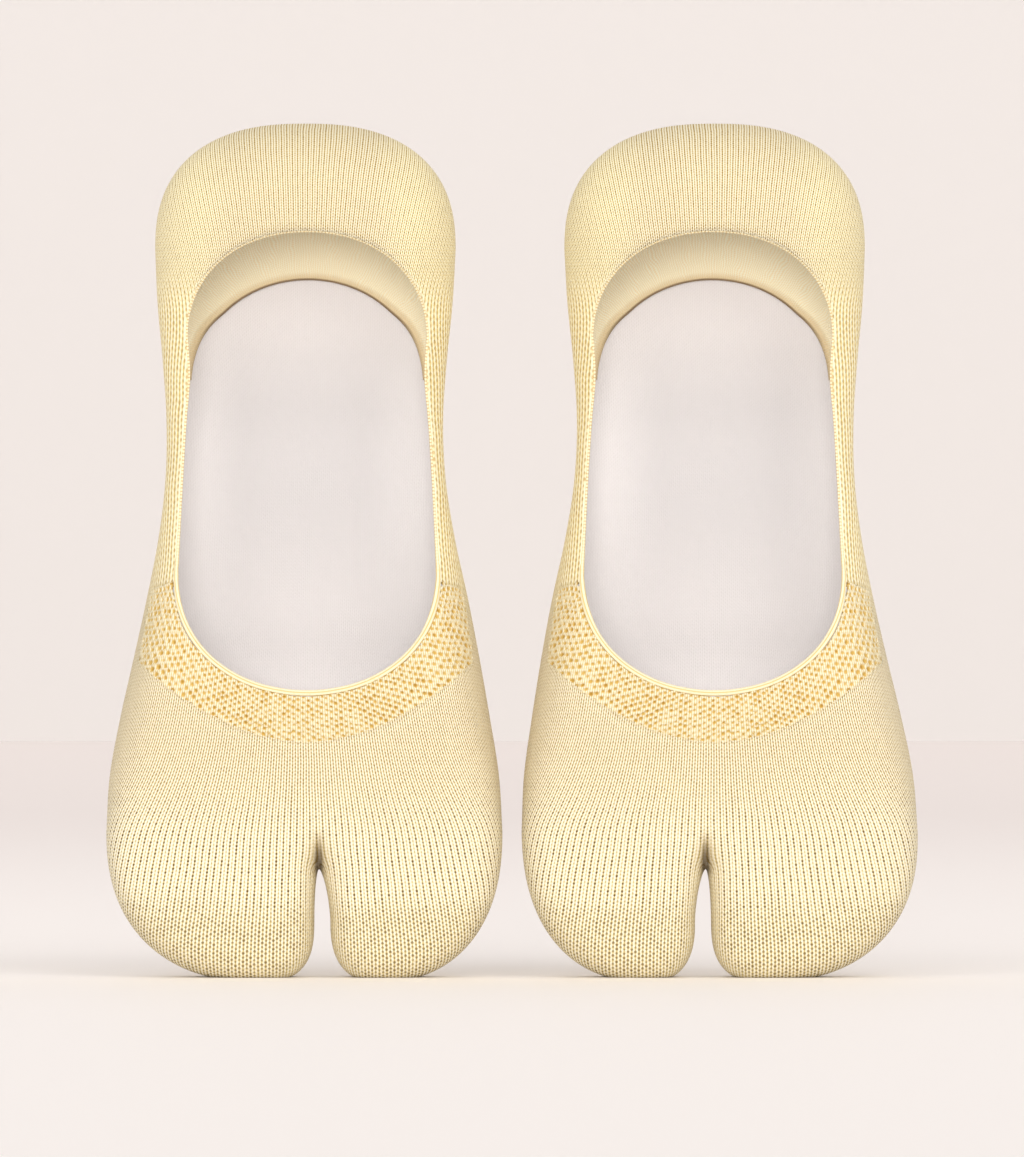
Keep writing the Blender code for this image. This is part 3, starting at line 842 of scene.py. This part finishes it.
# Heights in metres where the toes, their tips and the hood begin, and how far those places wander.
TOE_Z, TIP_Z, HOOD_Z, BORDER_SWAY = (0.062, 0.036), (0.025, 0.013), (0.178, 0.206), 0.012
# The strap has larger stitches: in one of them lie these shares of a wale and of a course.
COARSE = (0.5, 0.56, 0.0)


def foot_look(place, knit):
    sway = minus(noise(place, 38.0, 3.0), 0.5)
    height = plus(xyz(place)[2], times(sway, BORDER_SWAY))
    toe, tip, hood = [ramp(height, *fade) for fade in (TOE_Z, TIP_Z, HOOD_Z)]
    names = ("strap", "flank", "lips", "deep", "rim")
    strap, flank, lips, deep, rim = [attribute(place, name) for name in names]
    pairing = times(toe, summed(0.82, (-0.72, tip)))
    pairing = summed(pairing, (0.6, times(hood, ramp(rim, 1.8, 3.4))))
    width = summed(0.25, (0.08, toe), (0.05, tip))
    fine = knit_node(place, knit, 0.5, pairing, width, 0.31)
    larger = node("ShaderNodeVectorMath", {0: knit, 1: COARSE}, operation="MULTIPLY")
    coarse = knit_node(place, larger.outputs[0], 0.7, 0.0, 0.3, 0.32)
    hole, yarn, relief = [lerp(strap, fine[k], coarse[k]) for k in range(3)]
    at_rim = times(ramp(rim, 0.5, 0.9), ramp(rim, 2.4, 1.8))
    hole = times(times(hole, summed(1.0, (-0.75, lips))), summed(1.0, (0.1, at_rim)))
    parts = {"toe": toe, "tip": tip, "hood": hood, "flank": flank, "strap": strap}
    shades = {}
    for layer in ("ridge", "valley", "gap"):
        own = [(share, YELLOW.get(f"{part}_{layer}")) for part, share in parts.items()]
        shades[layer] = painted(YELLOW[layer], *[coat for coat in own if coat[1]])
    depth = summed(0.7, (0.3, toe), (0.25, hood))
    cloud = ramp(noise(place, 14.0), 0.3, 0.8, 0.0, 0.14)
    cloth = painted(
        shades["valley"],
        (ramp(yarn, 0.05, 0.8), shades["ridge"]),
        (ramp(rim, 1.5, 0.6, 0.0, 0.6), shades["ridge"]),
        (times(hole, depth), shades["gap"]),
        # Random clouds of a duller tone; at the tips of the toes the same tone is painted shade where
        # they turn under towards the floor.
        (calc("MAXIMUM", cloud, times(tip, 0.16)), YELLOW["cloud"]),
        # Painted shade in the crease above the cleft.
        (times(deep, 0.96), YELLOW["crease"]),
    )
    return cloth, summed(0.74, (0.2, hole)), relief, 0.24, 0.75


foot_knit = cloth_material("yellow plain knit", foot_look)

# %% The inside of the foot, which shows the reverse of the knit, with painted light where it lies in shade
REVERSE_WITH_PAINTED_LIGHT = palette(
    # The first colour is the reverse knit in the open; the next three are lighter, as painted light
    # where the inside lies in the shade of the sock.
    middle=(203, 199, 198),
    ends=(227, 222, 220),
    flank=(235, 231, 229),
    tips=(238, 233, 231),
    valley=(200, 192, 186),
)


def inner_look(place, knit):
    across, _, up = xyz(place)
    # Painted light: lighter towards the sides, the low end and the top of the inside, and most at the
    # very bottom and top, where the walls of the sock shade it.
    beside = minus(calc("ABSOLUTE", across), TOE_SPACING / 2 * MM)
    beside = ramp(calc("ABSOLUTE", beside), 0.014, 0.034, 0.0, 0.7)
    ends = calc("MAXIMUM", ramp(up, 0.135, 0.085), ramp(up, 0.150, 0.180))
    tips = calc("MAXIMUM", ramp(up, 0.092, 0.078), ramp(up, 0.166, 0.186))
    loops = knit_node(place, knit, 0.6, 0.0, 0.3, 0.3)["Relief"]
    cloth = painted(
        REVERSE_WITH_PAINTED_LIGHT["middle"],
        (ends, REVERSE_WITH_PAINTED_LIGHT["ends"]),
        (beside, REVERSE_WITH_PAINTED_LIGHT["flank"]),
        (tips, REVERSE_WITH_PAINTED_LIGHT["tips"]),
        (ramp(loops, 0.6, -0.2, 0.0, 0.16), REVERSE_WITH_PAINTED_LIGHT["valley"]),
    )
    return cloth, summed(0.9, (-0.05, loops)), loops, 0.12, 0.35


inner_knit = cloth_material("pale reverse knit", inner_look)

# %% Open mesh, for the band round the throat
MESH = palette(
    valley=(210, 187, 126),
    ridge=(235, 227, 200),
    # The gap colours are painted shade: the yarn behind each gap seen in shade, darkest in its
    # middle.
    gap=(204, 168, 88),
    deep_gap=(180, 140, 64),
)


def mesh_look(place, knit):
    gap = attribute(place, "gap")
    stitches = knit_node(place, knit, 0.8, 0.0, 0.25, 0.3)
    cloth = painted(
        MESH["valley"],
        (ramp(stitches["Yarn"], 0.1, 0.8), MESH["ridge"]),
        # Painted shade in the gaps.
        (ramp(gap, 0.1, 0.9), MESH["gap"]),
        (ramp(gap, 0.9, 1.2), MESH["deep_gap"]),
    )
    return cloth, summed(0.72, (0.2, gap)), stitches["Relief"], 0.12, 0.4


mesh_knit = cloth_material("yellow open mesh", mesh_look)

# %% Elastic edge
EDGE = palette(
    throat=(219, 192, 128),
    hood=(238, 226, 191),
    yarn=(241, 231, 197),
    bead=(206, 172, 104),
    speck=(236, 210, 146),
)
EDGE_LINES, EDGE_UPPER_Z = 5, (0.104, 0.13)


def edge_look(place, knit):
    way, round_it, _ = xyz(knit)
    lines = calc("COSINE", times(round_it, 2 * math.pi * EDGE_LINES))
    threads = calc("SINE", times(way, 2 * math.pi))
    speck = noise(place, 900.0, 1.0)
    upper = ramp(xyz(place)[2], *EDGE_UPPER_Z)
    cloth = painted(
        EDGE["throat"],
        (upper, EDGE["hood"]),
        (ramp(lines, -0.9, 0.0), EDGE["yarn"]),
        (times(ramp(threads, 0.1, -0.8), times(upper, 0.75)), EDGE["bead"]),
        (ramp(speck, 0.55, 0.8, 0.0, 0.4), EDGE["speck"]),
    )
    relief = plus(times(lines, 0.7), times(threads, 0.3))
    return cloth, summed(0.6, (0.2, speck)), relief, 0.1, 0.5


edge_elastic = cloth_material("yellow elastic edge", edge_look)

# %% Heel lining
LINING = palette(
    valley=(248, 229, 182),
    ridge=(255, 249, 220),
    cloud=(254, 240, 203),
    # The last two are painted shade along the rolled lower rim and a painted shadow line at the rim
    # itself.
    rim=(206, 174, 118),
    fold=(112, 86, 62),
)
# In the lining's knit the second place counts from the rim, in ribs of 0.56 mm.
RIM_SHADE_RIBS, SHADOW_LINE_RIBS, SHADOW_LINE_ENDS_Z = (4.0, 0.7), (1.1, 0.4), (0.168, 0.180)


def lining_look(place, knit):
    along, from_rim, _ = xyz(knit)
    sway = times(minus(noise(place, 210.0), 0.5), 3.6)
    slant = plus(times(along, 0.7), from_rim)
    ribs, cross = [calc("SINE", times(plus(v, sway), 2 * math.pi)) for v in (along, slant)]
    relief = plus(times(ribs, 0.6), times(cross, 0.4))
    cloud = noise(place, 60.0, 3.0)
    fold_ends = ramp(xyz(place)[2], *SHADOW_LINE_ENDS_Z, 0.25, 0.8)
    cloth = painted(
        LINING["valley"],
        (ramp(relief, -0.9, 0.6), LINING["ridge"]),
        (ramp(cloud, 0.35, 0.75, 0.0, 0.3), LINING["cloud"]),
        # Painted shade along the rolled lower rim, and a painted shadow line at the rim, fainter at
        # the low ends of the lining.
        (ramp(from_rim, *RIM_SHADE_RIBS, 0.0, 0.6), LINING["rim"]),
        (times(ramp(from_rim, *SHADOW_LINE_RIBS), fold_ends), LINING["fold"]),
    )
    return cloth, summed(0.7, (0.2, cloud)), relief, 0.08, 0.45


lining_knit = cloth_material("beige heel lining", lining_look)

# %% [markdown]
# ## The foot
# The foot is one tube of plain knit: sole, instep, both stalls, the flanks and the hood over the
# heel. Its throat is left open for the mesh band, so the faces there are taken out of the grid.

# %% Make both feet
FOOT_FINER, EDGE_DEPTH, HOOD_EDGE_DEPTH = 5, 2 * EDGE_RADIUS + 0.1, 0.5
foot_points, foot_wales, foot_values = sock_arrays({"all": FOOT_FINER}, HOOD_EDGE_DEPTH)
before_band = COLUMNS_ABOVE_BAND * FOOT_FINER
after_band = 2 * sum(count for _, count, *_ in STRETCHES) * FOOT_FINER - before_band


def in_foot(i, j):
    return not (before_band <= i < after_band and j < BAND_ROWS)


feet = {}
for side, (turn, bend) in SOCKS.items():
    where = placed(foot_points, turn, bend)
    both = [foot_knit, inner_knit]
    feet[side] = cloth_piece(
        f"{side}_foot_knit", where, foot_wales, turn, both, WALL, in_foot, foot_values
    )

# %% [markdown]
# ## The open-mesh band
# The band is a coarser knit with a round gap between every two stitches. The gaps are under a
# millimetre and a half, too many to cut, so the sheet is pressed in at each of them and the
# yarn stands up between. Every other line of gaps is half a gap lower, as the stitches are.

# %% Relief of the band
BAND_FINER, BAND_STEPS = {"all": 11, "band end": 28}, 40
GAP_ACROSS, GAP_ALONG, GAP_DEPTH, YARN_RISE = 1.28, 1.55, 0.42, 0.16
POINTED, SEED, CHANCES, BAND_WALL = 0.055, 7, 256, 0.7 * WALL
GAP_SIZES = table(
    # distance from the middle, size of a gap across and along
    (0, 1, 1),
    (18, 1, 1.05),
    (29, 1.15, 1.3),
    (38, 1.7, 1.5),
    (48, 2.1, 1.65),
    (70, 2.1, 1.65),
)
GAP_FAN, GAP_SAG, BAND_Z, LINE_WAVE, ROW_WAVE = 0.0105, 0.0105, 71.0, 0.12, 0.10
FARTHEST, COUNTING_STEP = 70, 0.25
# How far chance moves a gap across and along, and how much it changes its size and its depth.
ASTRAY_ACROSS, ASTRAY_ALONG, SIZE_CHANCE, DEPTH_CHANCE = 0.13, 0.12, 0.2, 0.2
GAP_SLANT, GAP_HALF_WIDTH, GAP_HALF_HEIGHT, GAP_FADE = 0.18, 0.47, 0.38, (0.3, 1.12)


def band_relief(unrolled):
    """How far each point is pressed in, and the share of a gap that it has."""
    chance = np.random.default_rng(SEED).uniform(-1, 1, (CHANCES, CHANCES, 4))
    x, z = unrolled[..., 0], unrolled[..., 1]
    distances = np.linspace(0, FARTHEST, round(FARTHEST / COUNTING_STEP) + 1)
    steps = COUNTING_STEP / table_value(GAP_SIZES, distances[1:], 1)
    count = np.concatenate([[0.0], np.cumsum(steps)])
    across = np.sign(x) * np.interp(np.abs(x), distances, count) / GAP_ACROSS
    across = across * np.exp(GAP_FAN * (z - BAND_Z))
    along = (z - BAND_Z - GAP_SAG * x * x / 2) / GAP_ALONG / table_value(GAP_SIZES, np.abs(x), 2)
    across = across + LINE_WAVE * np.sin(z * 0.55 + x * 0.2)
    along = along + ROW_WAVE * np.sin(x * 0.7)
    gap = np.zeros_like(x)
    for step in (-1, 0, 1):
        line = np.round(across) + step
        second = np.mod(line, 2)
        for jump in (-1, 0, 1):
            row = np.round(along - second / 2) + jump
            pick = chance[line.astype(int) % CHANCES, row.astype(int) % CHANCES]
            off_x = across - line - ASTRAY_ACROSS * pick[..., 0]
            off_z = along - second / 2 - row - ASTRAY_ALONG * pick[..., 1]
            far = np.hypot((off_x + GAP_SLANT * off_z) / GAP_HALF_WIDTH, off_z / GAP_HALF_HEIGHT)
            far = far / (1 + SIZE_CHANCE * pick[..., 2])
            depth = 1 + DEPTH_CHANCE * pick[..., 3]
            gap = np.maximum(gap, depth * (1 - soft_step(far, *GAP_FADE)))
    return gap


def band_arrays():
    halves = {}
    for side in (-1, 1):
        *_, band, opening, _ = columns_of(side, BAND_FINER)
        first = COLUMNS_ABOVE_BAND * BAND_FINER["all"]
        band, opening = band[first:], opening[first:]
        edge = set_back(opening, band, EDGE_DEPTH)
        pointed = 1 + POINTED * np.abs(2 * np.mod(band[:, :1] / GAP_ACROSS, 1) - 1)
        band = edge + (band - edge) * pointed
        halves[side] = between(edge, band, np.arange(BAND_STEPS + 1) / BAND_STEPS)
    flat = np.concatenate([halves[-1], halves[1][-2::-1]])
    points, unrolled = cloth_points(flat, True)
    return points, knit_place(unrolled), band_relief(unrolled)


band_points, band_knit, band_gap = band_arrays()
bands = {}
for side, (turn, bend) in SOCKS.items():
    where = placed(band_points, turn, bend)
    outward = normals_of(where, False) * turn
    where = where + outward * (YARN_RISE * (1 - band_gap) - GAP_DEPTH * band_gap)[..., None]
    both, values = [mesh_knit, inner_knit], {"gap": band_gap}
    bands[side] = cloth_piece(
        f"{side}_mesh_band", where, band_knit, turn, both, BAND_WALL, values=values
    )

# %% [markdown]
# ## The elastic edge
# A thin rolled edge runs all round the opening. It is a grid bent into a tube: one way follows the
# opening and the other goes round the section. A slow wave along it makes the small scallops that
# the last row of stitches leaves.

# %% Make both edges
EDGE_FINER, EDGE_SIDES, SCALLOP, HOOD_EDGE_RADIUS = {"all": 9}, 14, 0.06, 0.32
EDGE_THINS_Z = (100.0, 128.0)


def edge_radius(z):
    """The radius of the roll, which is thin under the hood and full round the throat."""
    return EDGE_RADIUS + (HOOD_EDGE_RADIUS - EDGE_RADIUS) * soft_step(z, *EDGE_THINS_Z)


def edge_arrays(turn, bend):
    lines = []
    for further in (0.0, 1.0):
        halves = []
        for side in (-1, 1):
            *_, band, opening, _ = columns_of(side, EDGE_FINER)
            halves.append(set_back(opening, band, edge_radius(opening[:, 1:]) + further))
        ring = np.concatenate([halves[0], halves[1][-2:0:-1]])
        lines.append(placed(cloth_points(ring, True)[0], turn, bend))
    centre, back = lines
    along = unit(np.roll(centre, -1, axis=0) - np.roll(centre, 1, axis=0))
    across = back - centre
    across = unit(across - along * (across * along).sum(1, keepdims=True))
    outward = -turn * np.cross(along, across)
    far = lengths_along(centre)
    angle = np.linspace(0, 2 * math.pi, EDGE_SIDES + 1)
    radius = edge_radius(centre[:, 2]) * (1 + SCALLOP * np.sin(far * 2 * math.pi / WALE))
    turns = angle[None, :, None]
    spoke = np.cos(turns) * across[:, None] + np.sin(turns) * outward[:, None]
    points = (centre - outward * WALL / 2)[:, None] + spoke * radius[:, None, None]
    points = np.concatenate([points, points[:1]])
    wales = np.append(far, far[-1] + 1)[:, None] / WALE
    knit = stacked(*np.broadcast_arrays(wales, angle[None, :] / (2 * math.pi)))
    return points, knit


edges = {}
for side, (turn, bend) in SOCKS.items():
    where, knit = edge_arrays(turn, bend)
    edges[side] = cloth_piece(f"{side}_elastic_edge_roll", where, knit, turn, [edge_elastic], 0)

# %% [markdown]
# ## The heel lining
# Inside the heel lies a smooth beige piece that keeps the sock from slipping. It follows the inside
# of the heel at a small distance, and its lower rim is rolled, so the last rows are turned up.

# %% Make both linings
LINING_FINER, LINING_ROWS, LINING_WALL, LINING_GAP, LINING_TAPER = 8, 34, 0.8, 0.3, 0.13
LINED_FLANK_COLUMNS, RIM_ROLL, RIM_REACH, LINING_RIB = 3, 0.4, 2.0, 0.56
UNDER_HOOD, TAPER_COLUMNS = 0.1, 25


def lining_arrays(turn, bend):
    centre = np.array((LINING_X, LINING_Z))
    halves = []
    for side in (-1, 1):
        _, outline, *_ = columns_of(side, {"all": LINING_FINER})
        count = (STRETCHES[0][1] + LINED_FLANK_COLUMNS) * LINING_FINER + 1
        way = outline[:count] - centre
        reach = np.hypot(way[:, 0] / LINING_HALF_WIDTH, way[:, 1] / LINING_HEIGHT)[:, None]
        rim = centre + way / reach
        shorter = soft_step(np.arange(count), count - 1 - TAPER_COLUMNS, count - 1)[:, None]
        rim = rim + (outline[:count] - rim) * LINING_TAPER * shorter
        share = np.linspace(UNDER_HOOD, 1, LINING_ROWS + 1)
        halves.append(between(outline[:count], rim, share))
    flat = np.concatenate([halves[0][:0:-1], halves[1]])
    points = placed(cloth_points(flat, False)[0], turn, bend)
    inwards = normals_of(points, False) * turn
    to_rim = np.linalg.norm(np.diff(points, axis=1), axis=-1)[:, ::-1].cumsum(axis=1)[:, ::-1]
    to_rim = np.concatenate([to_rim, np.zeros((len(points), 1))], axis=1)
    near_rim = 1 - to_rim / RIM_REACH
    roll = np.sqrt(np.clip(1 - near_rim**2, 0, 1)) * np.clip(near_rim, 0, 1)
    points = points + inwards * (WALL + LINING_GAP + 2 * RIM_ROLL * roll)[..., None]
    far = lengths_along(points[:, -1])
    knit = stacked(*np.broadcast_arrays(far[:, None], to_rim)) / LINING_RIB
    return points, knit


linings = {}
for side, (turn, bend) in SOCKS.items():
    where, knit = lining_arrays(turn, bend)
    linings[side] = cloth_piece(
        f"{side}_heel_lining_knit", where, knit, -turn, [lining_knit], LINING_WALL
    )

# %% [markdown]
# ## Each piece on the body of the pair
# Every piece rides on the one body of the pair and replaces its plain solid, which is hidden.
# Relaxed knit is smaller than the same knit on a foot.

for side in SOCKS:
    parts = {
        "foot": (feet[side], "foot_knit"),
        "throat_band": (bands[side], "mesh_knit"),
        "elastic_edge": (edges[side], "elastic_edge"),
        "heel_lining": (linings[side], "heel_lining"),
    }
    for what, (piece, finish) in parts.items():
        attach(piece, "root")
        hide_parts(f"{side}_{what}")

# %% [markdown]
# ## Floor, wall, light and camera
# The pair stands on a pale floor, drawn darker further back as painted shade, in front of a plain
# wall. Two wide soft lamps, right and left of the camera, give the flanks their shape, a low one
# reaches into the openings, and the camera looks level at the middle of the socks.

# %% Floor and wall
def plain_surface(name, near, far, roughness, centre, upright):
    """A wide flat sheet whose colour goes from near to far as it leaves the pair; the floor's darker
    far colour is painted shade.
    """
    sheet = bmesh.new()
    bmesh.ops.create_grid(sheet, x_segments=1, y_segments=1, size=REACH)
    if upright:
        bmesh.ops.rotate(sheet, matrix=Matrix.Rotation(math.pi / 2, 3, "X"), verts=sheet.verts)
    bmesh.ops.translate(sheet, vec=centre, verts=sheet.verts)
    mesh = mesh_from(name, sheet)
    material, shader, place = start_material(name)
    away = ramp(xyz(place)[1], *FLOOR_FADE)
    material.node_tree.links.new(blend(away, near, far), shader["Base Color"])
    shader["Roughness"].default_value = roughness
    mesh.materials.append(material)
    added(name, mesh)
    print(name, "at", centre)


# The floor's far colour is painted shade: the floor is drawn darker behind the pair.
ROOM = palette(near=(254, 249, 246), far=(234, 226, 223), wall=(204, 200, 197))
REACH, WALL_Y, FLOOR_FADE = 7.0, 5.8, (0.1, 3.0)
plain_surface("floor", ROOM["near"], ROOM["far"], 0.6, (0, WALL_Y - REACH, 0), False)
plain_surface("wall", ROOM["wall"], ROOM["wall"], 0.9, (0, WALL_Y, REACH), True)


# %% Light
LAMP_COLOUR, WORLD_STRENGTH = (1.0, 0.98, 0.97), 0.6


def soft_sun(name, turned_right, raised, spread, strength):
    """A far lamp, turned right of the camera and raised by these angles."""
    lamp = bpy.data.lights.new(name, "SUN")
    lamp.angle = math.radians(spread)
    lamp.energy = strength
    lamp.color = LAMP_COLOUR
    around, up = math.radians(turned_right), math.radians(raised)
    level = Vector((math.sin(around), -math.cos(around), 0.0))
    source = level * math.cos(up) + Vector((0.0, 0.0, math.sin(up)))
    added(name, lamp).rotation_euler = source.to_track_quat("Z", "Y").to_euler()
    print(name, "from", [round(v, 2) for v in source])


soft_sun("key light", 26, 34, 40, 0.88)
soft_sun("second light", -26, 32, 40, 0.52)
soft_sun("low light", -3, 4, 24, 1.6)
world = bpy.data.worlds.new("studio")
world.use_nodes = True
background = world.node_tree.nodes["Background"]
background.inputs["Color"].default_value = (*LAMP_COLOUR, 1.0)
background.inputs["Strength"].default_value = WORLD_STRENGTH
bpy.context.scene.world = world
bpy.context.scene.view_settings.view_transform = "Standard"
bpy.context.scene.view_settings.look = "None"

# %% Camera
EYE_DISTANCE, EYE_HEIGHT, PIXELS_PER_MM, FRAME_HEIGHT = 4.0, 0.1074, 3.709, 1157
camera = bpy.data.cameras.new("camera")
camera.sensor_width = 36.0
camera.lens = camera.sensor_width * PIXELS_PER_MM * EYE_DISTANCE / MM / FRAME_HEIGHT
camera.clip_end = 20.0
eye = added("camera", camera)
eye.location = (0.0, -ORIGIN_Y * MM - EYE_DISTANCE, EYE_HEIGHT)
eye.rotation_euler = (math.pi / 2, 0.0, 0.0)
bpy.context.scene.camera = eye
print("lens:", round(camera.lens, 1), "mm")
